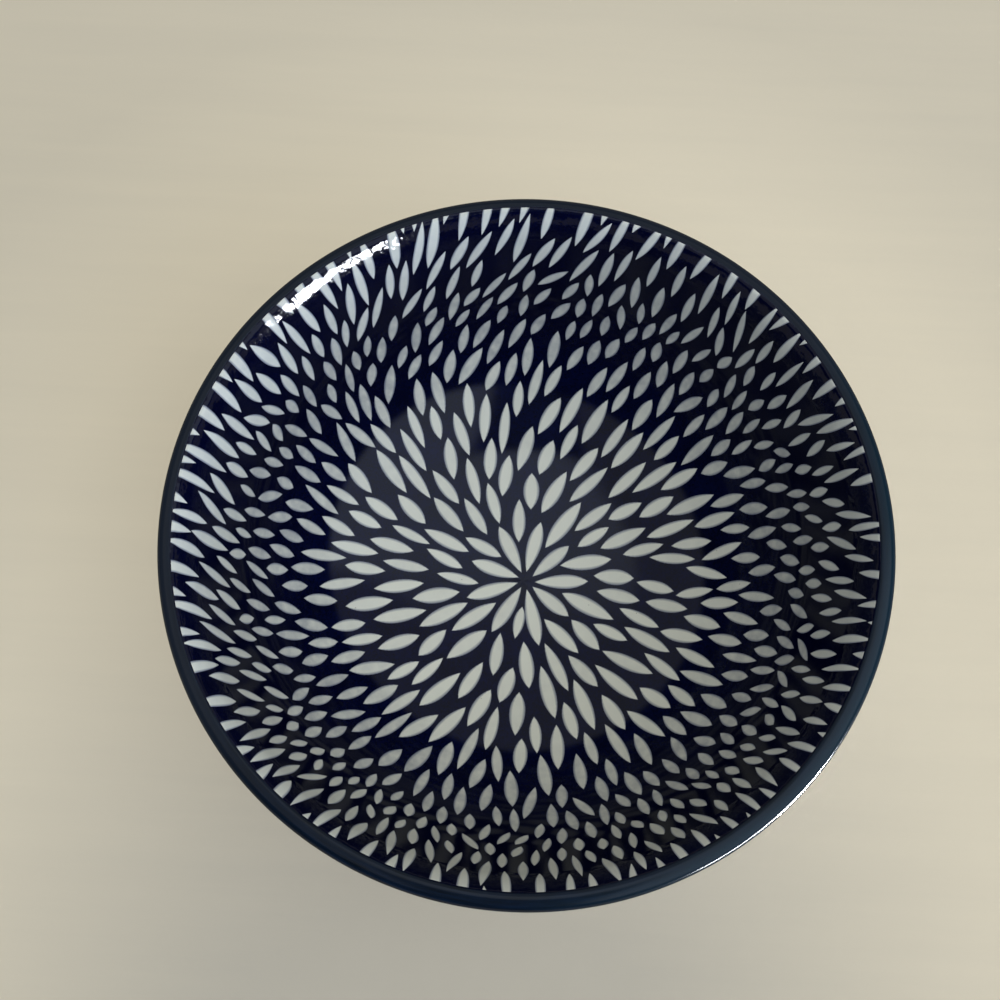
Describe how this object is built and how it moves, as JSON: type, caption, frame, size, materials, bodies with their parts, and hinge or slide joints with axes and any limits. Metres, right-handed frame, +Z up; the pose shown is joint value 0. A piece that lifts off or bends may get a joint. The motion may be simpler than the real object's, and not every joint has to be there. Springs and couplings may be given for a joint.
{
  "type": "bowl",
  "caption": "Deep round stoneware bowl with a rounded dark lip, a blue glazed inside with pale radiating petals, and a turned foot ring; holds food or liquid.",
  "frame": {"origin": "on the table plane, at the bowl's axis, under the middle of the foot ring", "axes": "+Z up along the bowl's axis, out of its mouth; X and Y lie in the table plane"},
  "size_m": [0.156, 0.156, 0.067],
  "materials": {
    "fired_clay": "bare fired stoneware, matt",
    "blue_lining": "cobalt blue under clear gloss glaze",
    "petal_white": "off-white petals under clear gloss glaze",
    "lip_band": "dark slate blue gloss glaze",
    "outside_blue": "dark blue gloss glaze"
  },
  "bodies": {
    "root": {"stoneware_body": "fired_clay", "foot_ring": "fired_clay", "inside_glaze": "blue_lining", "rim_band": "lip_band", "outside_glaze": "outside_blue", "foot_well_glaze": "outside_blue"}
  },
  "joints": []
}
